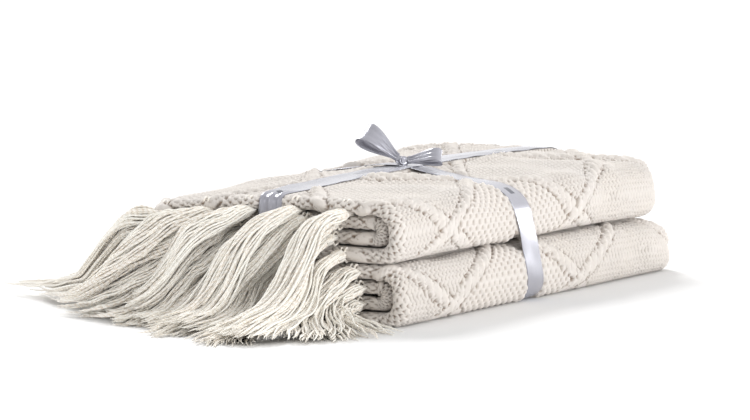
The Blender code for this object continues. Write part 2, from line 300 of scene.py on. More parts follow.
def add_values(piece, shape, **values):
    """Stores numbers for the points of a piece, laid out as its shape, for its material."""
    for name, each in values.items():
        layer = piece.data.attributes.new(name, "FLOAT", "POINT")
        layer.data.foreach_set("value", np.broadcast_to(each, shape).astype(np.float32).ravel())


def run_length(line):
    """The distance along a line of points, from its first."""
    return np.concatenate([[0], np.cumsum(np.linalg.norm(np.diff(line, axis=0), axis=1))])


def tube_quads(rings, sides):
    """Quads of a tube whose points come ring by ring."""
    ring, side = np.meshgrid(np.arange(rings - 1), np.arange(sides), indexing="ij")
    after = (side + 1) % sides
    return np.stack([ring * sides + side, ring * sides + after,
                     (ring + 1) * sides + after, (ring + 1) * sides + side],
                    axis=-1).reshape(-1, 4)


# Materials

def shader_of(name, **values):
    """A material with its tree and its shader, whose inputs take the values."""
    material = bpy.data.materials.new(name)
    material.use_nodes = True
    shader = material.node_tree.nodes["Principled BSDF"]
    for key, value in values.items():
        shader.inputs[key.replace("_", " ")].default_value = value
    return material, material.node_tree, shader


def feed(socket, value):
    """Links an output to an input, or sets the input's own value."""
    if isinstance(value, bpy.types.NodeSocket):
        socket.id_data.links.new(value, socket)
    else:
        socket.default_value = value


def node(tree, kind, *first, **values):
    """A node with values for its first inputs, and for named inputs and settings."""
    made = tree.nodes.new(kind)
    for socket, value in zip(made.inputs, first):
        feed(socket, value)
    for key, value in values.items():
        if hasattr(made, key):
            setattr(made, key, value)
        else:
            feed(made.inputs[key.replace("_", " ")], value)
    return made


def stored(tree, name):
    """The values that the mesh stores under a name."""
    return node(tree, "ShaderNodeAttribute", attribute_name=name).outputs["Fac"]


def noise(tree, scale, detail, place=None, **values):
    """Fine noise over a place, or over the piece's own space."""
    if place is None:
        place = node(tree, "ShaderNodeTexCoord").outputs["Object"]
    return node(tree, "ShaderNodeTexNoise", Vector=place, Scale=scale, Detail=detail,
                **values).outputs["Fac"]


def mix_colours(tree, factor, first, second):
    mixer = node(tree, "ShaderNodeMix", data_type="RGBA")
    feed(mixer.inputs[0], factor)
    for socket, colour in ((mixer.inputs[6], first), (mixer.inputs[7], second)):
        plain = not isinstance(colour, bpy.types.NodeSocket)
        feed(socket, (*colour, 1.0) if plain else colour)
    return mixer.outputs[2]


def toned(colour, share):
    """A colour made darker or paler."""
    return tuple(min(1.0, channel * share) for channel in colour)


def surface(tree, shader, colour, height, strength, distance):
    """Gives the shader its colour, and bumps from a height."""
    bump = node(tree, "ShaderNodeBump", Height=height, Strength=strength, Distance=distance)
    feed(shader.inputs["Base Color"], colour)
    feed(shader.inputs["Normal"], bump.outputs["Normal"])


def knit_material(settings):
    material, tree, shader = shader_of("cream_wool", Roughness=0.93, Sheen_Weight=0.2)
    shade = stored(tree, "shade")
    # Painted shade: the stored shade darkens the wool towards the pit colour in recesses, and
    # leaves the tops of stitches and cables in the plain wool.
    ramp = node(tree, "ShaderNodeValToRGB", shade)
    ramp.color_ramp.elements[0].color = (*settings.shaded_pit, 1.0)
    ramp.color_ramp.elements[1].position = 0.62
    ramp.color_ramp.elements[1].color = (*settings.wool, 1.0)
    plain = ramp.outputs["Color"]
    warm = tuple(channel * share for channel, share in zip(settings.wool, (1.0, 0.965, 0.90)))
    tinted = mix_colours(tree, noise(tree, 14.0, 3.0), plain, warm)
    blend = mix_colours(tree, shade, plain, tinted)
    fibres = noise(tree, 900.0, 4.0, Roughness=0.7)
    fleck = node(tree, "ShaderNodeMapRange", fibres, 0.3, 0.75, 0.0, 0.28)
    colour = mix_colours(tree, fleck.outputs["Result"], blend, toned(settings.wool, 1.16))
    surface(tree, shader, colour, fibres, 0.45, 0.0007)
    return material


def yarn_material(settings):
    material, tree, shader = shader_of("plied_yarn", Roughness=0.86, Sheen_Weight=0.25)
    # Painted shade: the yarn darkens towards the yarn shade colour in the grooves of its twist,
    # turn by turn.
    wave = node(tree, "ShaderNodeMath", stored(tree, "twist"), operation="SINE").outputs["Value"]
    lift = node(tree, "ShaderNodeMapRange", wave, -1.3, 0.2)
    plies = mix_colours(tree, lift.outputs["Result"], settings.yarn_shade, settings.yarn)
    colour = mix_colours(tree, stored(tree, "tone"), plies, toned(settings.yarn, 1.08))
    fibres = noise(tree, 1400.0, 3.0, Roughness=0.7)
    height = node(tree, "ShaderNodeMath", fibres, wave, operation="ADD")
    surface(tree, shader, colour, height.outputs["Value"], 0.4, 0.0004)
    return material


def satin_material(settings):
    material, tree, shader = shader_of(
        "silver_satin", Roughness=0.27, Sheen_Weight=0.05, Metallic=0.5, Anisotropic=0.55,
        Coat_Weight=0.15, Coat_Roughness=0.25)
    across = stored(tree, "across")
    place = node(tree, "ShaderNodeCombineXYZ", across, stored(tree, "along"))
    stretch = node(tree, "ShaderNodeMapping", Vector=place.outputs["Vector"],
                   Scale=(2600.0, 60.0, 1.0))
    # Fine streaks along the threads, paler and darker: painted sheen, which also bumps the satin.
    sheen_streaks = noise(tree, 1.0, 2.0, stretch.outputs["Vector"])
    colour = mix_colours(tree, sheen_streaks, toned(settings.satin, 0.86), toned(settings.satin, 1.12))
    inside = [node(tree, "ShaderNodeMath", source, 0.0, MARK_HALF, operation="COMPARE")
              for source in (stored(tree, "mark"), across)]
    square = node(tree, "ShaderNodeMath", *[way.outputs["Value"] for way in inside],
                  operation="MULTIPLY")
    colour = mix_colours(tree, square.outputs["Value"], colour, settings.squares)
    surface(tree, shader, colour, sheen_streaks, 0.12, 0.0002)
    return material


def finish_piece(piece, material, body, nodes):
    """Gives a piece its material, hides the parts it takes the place of, and puts it under the body
    it moves with.
    """
    piece.data.materials.append(material)
    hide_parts(*nodes)
    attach(piece, body)
    return piece


# The knitted panel

def straight_rows(start, end, height, side, step, far, loose):
    """Rows of the folded mesh across the cloth's width, where it lies flat."""
    count = max(2, round(abs(end - start) / step) + 1)
    return [(0, x, height, side, 0, 0, 0, far, loose) for x in np.linspace(start, end, count)]


def turned_rows(centre, height, half, angles, step, fars, loose):
    """Rows round a fold; loose is how freely the cloth may stand out at its two ends."""
    rows = []
    length = (half[0] + half[1] + 2 * OUTER) / 2 * math.radians(abs(angles[1] - angles[0]))
    count = round(length / step)
    for i in range(1, count):
        share = i / count
        angle = math.radians(angles[0] + (angles[1] - angles[0]) * share)
        far = fars[0] + (fars[1] - fars[0]) * share
        free = loose[0] + (loose[1] - loose[0]) * smooth(share * 2.2 - 0.4)
        rows.append((1, centre, height, 0, *half, angle, far, free))
    return rows


def folded_path(step):
    """The cloth's way round both packets: flap, front fold, top, spine, underside, fold, flap.

    Each row says whether it turns, its x, height and side of a flat run, the two half sizes
    and the angle of a turn, how far back the cloth reaches, and how loose it is."""
    half = (DOUBLE / 2, DOUBLE / 2)
    upper = FRONT_X_UPPER - DOUBLE / 2 - OUTER
    lower = FRONT_X_LOWER - DOUBLE / 2 - OUTER
    spine = BACK_X + SPINE_DEPTH + OUTER
    return np.array(
        straight_rows(SELVEDGE_X, upper, 5 * PITCH, -1, HIDDEN_STEP, FOLD_Y_UPPER, 0)
        + turned_rows(upper, 6 * PITCH, half, (-90, 90), step, (FOLD_Y_UPPER, FOLD_Y_UPPER), (0, 1))
        + straight_rows(upper, spine, 7 * PITCH, 1, step, FOLD_Y_UPPER, 1)
        + turned_rows(spine, 4 * PITCH, (SPINE_DEPTH, 3 * PITCH), (90, 270), step * 1.3,
                      (FOLD_Y_UPPER, FOLD_Y_LOWER), (1, 0))
        + straight_rows(spine, lower, PITCH, -1, step * 2.2, FOLD_Y_LOWER, 0)
        + turned_rows(lower, DOUBLE, half, (-90, 90), step, (FOLD_Y_LOWER, FOLD_Y_MIDDLE), (0, 1))
        + straight_rows(lower, SELVEDGE_X, 3 * PITCH, 1, HIDDEN_STEP, FOLD_Y_MIDDLE, 0), float)


def cloth_points(rows, r, y, fullness):
    """Points of the cloth at every row, a distance r from the doubled run's middle, at y.

    Fullness says how square the folds are on their outside."""
    turning, x0, height, side, half_x, half_z, angle = [rows[:, i:i + 1] for i in range(7)]
    out, up = rounded(np.cos(angle), np.sin(angle), 2.0 + fullness * (r + PITCH) / DOUBLE)
    x = np.where(turning > 0, x0 + (half_x + r) * out, x0 + 0 * r)
    z = np.where(turning > 0, height + (half_z + r) * up, height + side * r)
    return np.stack([x, y + 0 * x, settled(x, y, z)], axis=-1)


def upper_shoulder(rows):
    """1 for the rows of the upper front fold above its middle, where the band pulls it round."""
    return ((rows[:, 0] > 0) & (rows[:, 2] > 5 * PITCH) & (rows[:, 6] >= 0)).astype(float)[:, None]


def hairpin_loop(step):
    """The doubled cloth's outline: distance from the middle, place along, cloth length and freedom.

    Place along is first + second * far. Freedom is 1 where the stitches show."""
    parts = []
    reach = FOLD_REACH * OUTER

    def add(*values):
        parts.append(np.broadcast_arrays(*values))

    def straight(radius, edge, shares, shown, sign):
        a = edge * (1 - shares) - shares * reach
        add(radius, a, shares, (a + shares * FOLD_Y_UPPER) * sign, shown)

    start = FOLD_Y_UPPER - reach
    edge = END_Y + RIM_DEPTH
    inner_edge = edge + INNER_SETBACK
    count = round((start - edge) / (step * 1.2))
    ahead = np.linspace(0, 1, count + 1)
    straight(OUTER, edge, ahead, 1.0, 1)
    bends = round(math.pi * (OUTER + reach) / 2 / step)
    angle = np.linspace(0, math.pi, bends + 1)[1:-1]
    out, up = rounded(np.sin(angle), np.cos(angle), 2.4)
    arc = np.cumsum(np.hypot(np.diff(reach * out, prepend=0), np.diff(OUTER * up, prepend=OUTER)))
    add(OUTER * up, -reach + reach * out, 1.0, start + arc, 1.0)
    back = np.concatenate([np.linspace(1, 0.06, 30), np.linspace(0.052, 0, 16)])
    straight(-OUTER, inner_edge, back, smooth((0.06 - back) / 0.03), -1)
    rim = np.linspace(0, math.pi, 19)[1:-1]
    rim_y, rim_r = rounded(np.sin(rim), np.cos(rim), 2.3)
    around = np.linspace(0, 0.026, len(rim))
    add(-PITCH / 2 - PLY / 2 * rim_r, inner_edge - RIM_DEPTH * rim_y, 0.0,
        inner_edge - around, 0.7)
    within = np.concatenate([np.linspace(0, 0.04, 6), np.linspace(0.08, 1, 22)])
    straight(-INNER, inner_edge, within, 0.0, -1)
    few = np.linspace(0, math.pi, 12)[1:-1]
    out, up = rounded(np.sin(few), np.cos(few), 2.4)
    add(-INNER * up, -reach + (reach - PLY) * out, 1.0, start + few * 0, 0.0)
    straight(INNER, edge, within[::-1], 0.0, 1)
    add(PITCH / 2 - PLY / 2 * rim_r, edge - RIM_DEPTH * rim_y, 0.0, edge - around[::-1], 0.8)
    return np.concatenate(parts, axis=1)


def legs(s, t, wale, stitch):
    """Plain knit from 0 in the pits to 1: columns of leaning legs, each half a stitch on."""
    column = np.floor(s / wale)
    side = (np.abs(s / wale - column - 0.5) - 0.25) * wale
    along = t / stitch + 0.5 * (column % 2)
    best = np.zeros(s.shape)
    for shift in (-1, 0, 1):
        b = (along - np.round(along) + shift) * stitch
        over = side * math.cos(LEG_LEAN) - b * math.sin(LEG_LEAN)
        down = side * math.sin(LEG_LEAN) + b * math.cos(LEG_LEAN)
        best = np.maximum(best, 1 - (over / (0.33 * wale)) ** 2 - (down / (0.68 * stitch)) ** 2)
    middle = (s / wale - column - 0.5) * wale
    gap = (along - np.floor(along) - 0.5) * stitch
    shaded_pit = np.exp(-(middle / (0.24 * wale)) ** 2 - (gap / (0.20 * stitch)) ** 2)
    return np.sqrt(best) - 0.75 * shaded_pit


def moss(s, t, wale, stitch):
    """Coarser seed-stitch bumps, from 0 to 1."""
    bumps = np.cos(math.pi * s / (0.95 * wale)) * np.cos(math.pi * t / (0.82 * stitch))
    return np.clip(0.45 + 0.75 * bumps, 0, 1) ** 0.8


def rope(across, along, half):
    """Height of a two-strand cable from 0 to 1."""
    turn = TURN * along / (4.4 * half)
    best = np.zeros(across.shape)
    for strand in (0, math.pi):
        middle = 0.44 * half * np.cos(turn + strand)
        over = (across - middle) / (0.60 * half)
        crest = np.sqrt(np.clip(1 - over ** 2, 0, 1))
        best = np.maximum(best, crest * (0.52 + 0.48 * np.sin(turn + strand)))
    ticks = 0.15 * np.cos(TURN * (along + 0.9 * np.abs(across)) / (0.70 * half))
    return np.clip(best + ticks * (best > 0.2), 0, 1)


def knit_relief(s, t, first, last, settings):
    """Height of the knit over its plain surface, and how deep in shade each point is."""
    half_s = (last - first) / CABLE_HALVES
    warp = 0.045 * wander(s, t, 0.17, 4)
    p = (t - CABLE_START_Y) / CABLE_HALF_Y
    q = (s - first) / half_s
    stitches = legs(s + 0.0012 * wander(s, t, 0.09, 7), t + 0.002 * wander(s, t, 0.11, 8),
                    settings.wale, settings.stitch)
    seeds = moss(s, t, settings.wale, settings.stitch)
    lines = ((p + q) / 2 + warp, (p - q) / 2 - warp)
    cell = np.mod(np.floor(lines[0]) + np.floor(lines[1]), 4) == 2
    height = -settings.depth * (1 - stitches)
    shade = 0.15 + 0.85 * stitches
    height = np.where(cell, -0.0030 + 0.0032 * seeds, height)
    shade = np.where(cell, 0.22 + 0.78 * seeds, shade)
    slope = 0.5 * math.hypot(1 / CABLE_HALF_Y, 1 / half_s)
    for line, way in zip(lines, (1, -1)):
        across = (line - np.round(line)) / slope
        along = (t / half_s - way * s / CABLE_HALF_Y) / (2 * slope)
        crest = rope(across, along, settings.cable)
        edge = np.exp(-((np.abs(across) - 1.16 * settings.cable) / 0.0018) ** 2)
        gaps = 0.5 + 0.5 * np.cos(TURN * along / 0.0115 + 2.0 * np.sign(across))
        height -= edge * (0.0012 + 0.0032 * gaps ** 3)
        shade -= edge * (0.25 + 0.9 * gaps ** 3)
        swell = np.exp(-(across / (1.9 * settings.cable)) ** 2)
        height += 0.0012 * swell
        raised = -0.0012 + settings.raised * crest
        on_cable = (crest > 0.05) & (raised > height)
        height = np.where(on_cable, raised, height)
        shade = np.where(on_cable, 0.05 + 1.05 * crest, shade)
    return height, np.clip(shade, 0, 1)


def crosswise_middle(x, z):
    """Where along the stack the middle of the crosswise band runs."""
    lean = np.maximum(smooth((x + 0.02) / 0.15), 1 - smooth(z / SLANT_END_Z))
    return CROSSING_Y + RIBBON_SLANT * (SLANT_Z - z) * lean


def drawn_in(y):
    """Half the lengthwise band's width at y; the fringe end draws it in."""
    return DRAWN_HALF + (RIBBON_HALF - DRAWN_HALF) * smooth((y - END_Y - 0.008) / 0.05)


def ribbon_distances(points):
    """How far points are from the middle lines of the crosswise and lengthwise bands."""
    x, y, z = points[..., 0], points[..., 1], points[..., 2]
    return np.abs(y - crosswise_middle(x, z)), np.abs(x) + RIBBON_HALF - drawn_in(y)


def crosswise_line():
    """The crosswise band's run round the stack, seen along the stack."""
    rows = folded_path(0.002)
    r, y = np.full((1, 1), OUTER), np.full((1, 1), CROSSING_Y)
    share = upper_shoulder(rows)[..., None]
    skin = (cloth_points(rows, r, y, FULL_FOLD) * (1 - share)
            + cloth_points(rows, r, y, TIED_FOLD) * share)[:, 0]
    return even_loop(convex(skin[:, [0, 2]]))


def lengthwise_line():
    """The lengthwise band's run round the stack, seen across the stack."""
    points = np.array([v.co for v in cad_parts["ribbon_lengthwise"].data.vertices])
    return even_loop(convex(points[points[:, 0] > 0.001][:, [1, 2]]))


def ribbon_level(points, normals, axes, band):
    """Height over the plain cloth that just reaches the inside of a band."""
    line, outward, _ = band
    flat, faces = points[:, list(axes)], normals[:, list(axes)]
    nearest = np.array([int(np.argmin(((line - place) ** 2).sum(axis=1))) for place in flat])
    facing = (faces * outward[nearest]).sum(axis=1)
    away = ((line[nearest] - flat) * outward[nearest]).sum(axis=1)
    meets = smooth((facing - 0.7) / 0.2) * smooth((0.0085 - np.abs(away)) / 0.003)
    return away / np.maximum(facing, 0.5) * meets - UNDER_RIBBON


def tied_down(height, plain, normal):
    """Brings the cloth up or down to the ribbon where it passes, and puffs it out beside it."""
    crosswise, lengthwise = ribbon_distances(plain)
    near = np.minimum(crosswise, lengthwise)
    height = height + 0.0016 * np.exp(-((near - 0.027) / 0.005) ** 2)
    for axes, distance, band in (((0, 2), crosswise, crosswise_line()),
                                 ((1, 2), lengthwise, lengthwise_line())):
        under = smooth((RIBBON_HALF + 0.0025 - distance) / 0.0035)
        here = under > 0
        level = ribbon_level(plain[here], normal[here], axes, band)
        height[here] = height[here] * (1 - under[here]) + level * under[here]
    return height


def grid_normals(grid, closed):
    """Unit normals of a grid of points; closed says that its second way is a loop."""
    along = np.gradient(grid, axis=0)
    if closed:
        around = np.roll(grid, -1, axis=1) - np.roll(grid, 1, axis=1)
    else:
        around = np.gradient(grid, axis=1)
    normal = np.cross(along, around)
    size = np.linalg.norm(normal, axis=-1, keepdims=True)
    return normal / np.maximum(size, 1e-12)


def knit_panel(settings):
    """The whole throw as one folded sheet of cable knit."""
    rows = folded_path(settings.mesh_step)
    r, first, second, length, free = hairpin_loop(settings.mesh_step)
    far = rows[:, 7:8]
    y = first + second * far
    plain = cloth_points(rows, r[None, :], y, FULL_FOLD)
    tied = cloth_points(rows, r[None, :], y, TIED_FOLD)
    crosswise, lengthwise = ribbon_distances(tied)
    clear = 1 - smooth((RIBBON_HALF + 0.004 - np.minimum(crosswise, lengthwise)) / 0.006)
    share = (upper_shoulder(rows) * np.exp(-(crosswise / TIED_REACH) ** 2))[..., None]
    plain = plain * (1 - share) + tied * share
    normal = -grid_normals(plain, True)
    skin = cloth_points(rows, np.full((1, 1), OUTER), np.zeros((1, 1)), SQUARENESS)[:, 0]
    s = run_length(skin)
    fold_rows = [int(np.argmin(np.abs(rows[:, 6] - 1e-9) + 9 * (rows[:, 0] < 1)
                               + 9 * (np.abs(rows[:, 2] - height) > 1e-6)))
                 for height in (6 * PITCH, DOUBLE)]
    across = np.broadcast_to(s[:, None], y.shape)
    outside = free > 0.9
    along = length[None, :] + np.where(outside, second * (far - FOLD_Y_UPPER), 0.0)
    relief, shade = knit_relief(across, along, s[fold_rows[0]] + CABLE_ACROSS_FIRST,
                                s[fold_rows[1]] + CABLE_ACROSS_LAST, settings)
    lumps = 0.0022 * wander(across, along, 0.085, 11)
    loose = rows[:, 8:9] * free
    height = relief * free + lumps * loose
    height = np.where(height > 0, height * loose, height)
    shown_at = np.broadcast_to(outside, y.shape)
    height[shown_at] = tied_down(height[shown_at], plain[shown_at], normal[shown_at])
    under_side = (rows[:, 0:1] < 1) & (np.abs(rows[:, 2:3] - PITCH) < 1e-6)
    edge = np.exp(-np.maximum(y - END_Y, 0) / 0.016)
    parting = (1 - rows[:, 8:9]) * outside * ~under_side
    swell = np.maximum(edge * (1 - outside * rows[:, 8:9]), parting)
    height = height + SWELL * swell * clear
    points = plain + normal * height[..., None]
    uneven = wander(across, 0.3 * r[None, :] + 0 * y, 0.10, 13)
    points[..., 1] += edge * 0.0028 * uneven * clear
    overhang = np.exp(-np.maximum(y - END_Y, 0) / 0.012) * (plain[..., 2] > 0.108)
    points[..., 1] -= 0.0045 * overhang * clear
    points[..., 2] = np.maximum(points[..., 2], 0.0002)
    count_s, count_t = y.shape
    caps = [np.arange(count_t)[::-1], (count_s - 1) * count_t + np.arange(count_t)]
    panel = new_mesh("knit_panel", points.reshape(-1, 3), tube_quads(count_s, count_t), caps)
    # Where the stitches don't show, as on the inner plies seen at the end, the knit gets a little
    # painted shade (0.6).
    add_values(panel, y.shape, shade=np.where(free > 0.05, shade, 0.6))
    return panel


# The fringe

def tassel_route(layer, number):
    """Root, bend and tip of a tassel, seen from above."""
    stagger = 0.0 if number in (2, 3) else 0.003 * math.sin(2.4 * layer + number)
    root = Vector((ROOTS_X[number] + stagger, END_Y - ROOT_GAP))
    bend = root + Vector((-0.038 + 0.004 * number, -BEND_OUT[number]))
    share = float(smooth(layer / (LAYERS - 1)))
    tip = Vector(TIPS_UNDER[number]).lerp(Vector(TIPS_ON_TOP[number]), share)
    short = 0.05 * (0.5 + 0.5 * math.sin(1.7 * layer + 2.3 * number))
    return [np.array(point) for point in (root, bend, tip.lerp(root, short))]


def route_points(route, way, aside):
    """Plan points a share of the way along a route and a distance to its front side."""
    root, bend, tip = route
    way = way[..., None]
    before = root + (bend - root) * way
    after = bend + (tip - bend) * way
    heading = after - before
    heading = heading / np.linalg.norm(heading, axis=-1, keepdims=True)
    side = np.stack([-heading[..., 1], heading[..., 0]], axis=-1)
    return before + (after - before) * way + side * aside[..., None]


def layer_height(layer, x, y):
    """Height of the middle of a layer of fringe over plan points."""
    if layer < 0:
        return -layer_height(0, x, y)
    away = np.hypot(np.maximum(BACK_X - x, 0.0), np.maximum(END_Y - y, 0.0))
    each = PILE_NEAR + (PILE_FAR - PILE_NEAR) * away / FRINGE_REACH
    pile = FLOOR_GAP + (layer + 0.5) * each
    face = settled(np.clip(x, BACK_X, FRONT_X_UPPER), END_Y, (layer + 0.5) * PITCH)
    reach = (0.055 + 0.011 * layer) * (0.70 + 0.30 * smooth((x + 0.20) / 0.15))
    share = np.clip(away / reach, 0, 1)
    return pile + (face - pile) * (1 - share) ** 2 * (1 + 2 * share)


def low_front(layer, number):
    return number == 4 and layer < 4


def shifted_root(layer, number):
    """How far a tassel's head sits along the edge from the regular place."""
    if layer == LAYERS - 1:
        return 0.0
    if low_front(layer, number):
        return LOW_FRONT
    return 0.013 * math.sin(5.1 * layer + 2.7 * number)


def tubes(centres, radius):
    """Points and quads of many tubes; centres is strands x rings x 3, radius strands x rings."""
    sides = TUBE_SIDES
    strands, rings, _ = centres.shape
    ahead = np.gradient(centres, axis=1)
    ahead /= np.maximum(np.linalg.norm(ahead, axis=-1, keepdims=True), 1e-9)
    up = np.zeros_like(ahead)
    up[..., 2] = 1.0
    up[np.abs(ahead[..., 2]) > 0.95] = (1.0, 0.0, 0.0)
    side = np.cross(ahead, up)
    side /= np.linalg.norm(side, axis=-1, keepdims=True)
    up = np.cross(side, ahead)
    angle = TURN * np.arange(sides) / sides
    ring = (side[:, :, None] * np.cos(angle)[:, None] + up[:, :, None] * np.sin(angle)[:, None])
    points = centres[:, :, None] + ring * radius[:, :, None, None]
    firsts = rings * sides * np.arange(strands)[:, None]
    quads = (tube_quads(rings, sides) + firsts[:, :, None]).reshape(-1, 4)
    caps = [*(firsts + np.arange(sides)[::-1]), *(firsts + (rings - 1) * sides + np.arange(sides))]
    return points.reshape(-1, 3), quads, caps


def ripple(draw, way, size, waves, start):
    """Small waves of each strand's own along its way, growing from its start."""
    each = (len(way), 1)
    return size * np.sin(TURN * way * draw.uniform(*waves, each)
                         + draw.uniform(0, 6.28, each)) * smooth(way / start)


def tassel_strands(layer, number, settings):
    """Centre lines and radii of the yarn ends of one tassel."""
    draw = np.random.default_rng(100 * layer + number)
    seen = layer >= LAYERS - 2 or number >= 3
    count = settings.strands if seen else settings.strands_under
    index = np.arange(count)[:, None]
    around = np.sqrt((index + 0.5) / count)
    a = around * np.cos(GOLDEN_TURN * index)
    b = around * np.sin(GOLDEN_TURN * index)
    ends = (1 - 0.30 * draw.random((count, 1)) ** 1.3) * draw.uniform(0.93, 1.0)
    way = np.linspace(0, 1, STRAND_RINGS) * ends
    grow = way ** (0.85 if layer >= LAYERS - 2 else 1.2)
    head = WIDE_HEADS[number] if layer == LAYERS - 1 else HEAD_HALF
    if low_front(layer, number):
        head = LOW_FRONT
    half = head + (settings.spread - head) * grow
    half = half * (0.85 + 0.15 * smooth(way / 0.05))
    stray = draw.normal(0, 0.22, (count, 1)) * (draw.random((count, 1)) < 0.3)
    shared = 0.0042 * np.sin(TURN * way * draw.uniform(1.1, 1.9) + draw.uniform(0, 6)
                             + 0.5 * a) * smooth(way / 0.3)
    own = ripple(draw, way, 0.0009, (2.5, 6.0), 0.15)
    crossing = draw.normal(0, 0.20, (count, 1)) * smooth((way - 0.25) / 0.75)
    aside = half * (a + stray * way ** 2 + crossing) + shared + own
    route = tassel_route(layer, number)
    splay = (0.35 + 0.65 * np.clip(a, 0, 1)) * smooth(way)
    splay = splay * (number == 4) * max(0.0, 1 - layer / 4)
    plan = route_points(route, way * 0.996 + 0.004, aside)
    plan[..., 0] += 0.012 * splay
    plan[..., 1] += 0.125 * splay
    plan[..., 0] += shifted_root(layer, number) * (1 - smooth(way / 0.6))
    x, y = plan[..., 0], plan[..., 1]
    here = layer_height(layer, x, y)
    room = np.minimum(layer_height(layer + 1, x, y) - here, here - layer_height(layer - 1, x, y))
    here = here * (1 - THIN_TIPS * smooth((way - 0.45) / 0.5))
    puff = 1.5 if layer == LAYERS - 1 else 1.05
    thick = np.clip(room * puff, 0.0026, 2.1 * HEAD_HALF) * (0.5 + 0.5 * smooth(way / 0.04))
    z = here + thick / 2 * b + ripple(draw, way, 0.0007, (3, 6), 0.2)
    z = z - HEAD_SUNK * (layer == LAYERS - 1) * (1 - smooth(way / 0.35))
    radius = settings.thickness * (1 - 0.62 * smooth((way / ends - 0.90) / 0.10))
    z = np.maximum(z, radius + 0.0003)
    lines = np.stack([x, y, z], axis=-1)
    into = lines[:, :1] * 0.7 + lines[:, :1].mean(axis=0, keepdims=True) * 0.3
    into = np.concatenate([into + (0, 0.013, 0), into + (0, 0.006, 0)], axis=1)
    lines = np.concatenate([into, lines], axis=1)
    radius = np.concatenate([radius[:, :2], radius], axis=1)
    return lines, radius, draw.random(count)


def head_wrap(layer, number, settings):
    """Turns of yarn round a tassel's head, and the yarn's loops through the ply's edge."""
    route = tassel_route(layer, number)
    rings = 33
    turns = np.linspace(0, TURN, rings)
    lines = []
    for place in (0.035, 0.050, 0.065, 0.080):
        way = np.full(rings, place) + 0.004 * np.sin(turns)
        half = HEAD_HALF + 0.0011
        plan = route_points(route, way, half * np.cos(turns))
        x, y = plan[..., 0] + shifted_root(layer, number), plan[..., 1]
        here = layer_height(layer, x, y) - HEAD_SUNK * (layer == LAYERS - 1)
        lines.append(np.stack([x, y, here + half * 0.86 * np.sin(turns)], axis=-1))
    root = route[0]
    for side in (-0.6, 0.5):
        bow = np.linspace(-0.5 * math.pi, 0.5 * math.pi, rings)
        x = root[0] + shifted_root(layer, number) + side * 0.0046 + 0 * bow
        y = END_Y - 0.004 + 0.0145 * np.cos(bow) * (1 - 0.2 * side * side)
        middle = layer_height(layer, root[0], root[1])
        z = middle + (PLY / 2 + 0.0004) * np.sin(bow)
        near = np.cos(bow) < 0.3
        z = np.where(near, middle + (z - middle) * (0.45 + 0.55 * np.cos(bow) / 0.3), z)
        lines.append(np.stack([x, y, z], axis=-1))
    lines = np.stack(lines)
    lines[..., 2] = np.maximum(lines[..., 2], settings.thickness + 0.0002)
    return lines, np.full(lines.shape[:2], settings.thickness)


def yarn_tassel(layer, number, material, settings):
    """One tassel of yarn ends with its wrapped head."""
    lines, radius, tone = tassel_strands(layer, number, settings)
    points, quads, caps = tubes(lines, radius)
    wrap, wrap_radius = head_wrap(layer, number, settings)
    more_points, more_quads, more_caps = tubes(wrap, wrap_radius)
    start = len(points)
    caps += [cap + start for cap in more_caps]
    name = f"tassel_{layer + 1}_{number + 1}"
    piece = new_mesh("yarn_" + name, np.concatenate([points, more_points]),
                     np.concatenate([quads, more_quads + start]), caps)

    def by_point(lines, values):
        strands, rings, _ = lines.shape
        return np.broadcast_to(values[:, None, None], (strands, rings, TUBE_SIDES)).ravel()

    def twist_of(lines):
        at = np.stack([run_length(line) for line in lines])
        angle = TURN * np.arange(TUBE_SIDES) / TUBE_SIDES
        return (TURN * at[:, :, None] / TWIST_LENGTH + angle).ravel()

    tone = np.concatenate([by_point(lines, tone * 0.8), by_point(wrap, np.full(len(wrap), 0.3))])
    twist = np.concatenate([twist_of(lines), twist_of(wrap)])
    add_values(piece, tone.shape, tone=tone, twist=twist)
    body = f"top_tassel_{number + 1}" if layer == LAYERS - 1 and number >= 2 else "folded_throw"
    return finish_piece(piece, material, body, [name])


# The ribbon

def convex(points):
    """The convex outline of flat points, turning left."""
    ordered = sorted({(round(float(a), 6), round(float(b), 6)) for a, b in points})

    def chain(these):
        kept = []
        for p in these:
            while len(kept) > 1 and ((kept[-1][0] - kept[-2][0]) * (p[1] - kept[-2][1])
                                     - (kept[-1][1] - kept[-2][1]) * (p[0] - kept[-2][0])) <= 1e-10:
                kept.pop()
            kept.append(p)
        return kept[:-1]

    return np.array(chain(ordered) + chain(ordered[::-1]))


def even_loop(outline):
    """The closed outline with even spacing and its corners rounded."""
    closed = np.concatenate([outline, outline[:1]])
    at = run_length(closed)
    places = np.linspace(0, at[-1], round(at[-1] / BAND_STEP), endpoint=False)
    line = np.stack([np.interp(places, at, closed[:, k]) for k in range(2)], axis=-1)
    for _ in range(BAND_ROUNDING):
        line = 0.5 * line + 0.25 * (np.roll(line, 1, axis=0) + np.roll(line, -1, axis=0))
    ahead = np.roll(line, -1, axis=0) - np.roll(line, 1, axis=0)
    ahead /= np.linalg.norm(ahead, axis=1, keepdims=True)
    outward = np.stack([ahead[:, 1], -ahead[:, 0]], axis=-1)
    return line, outward, places


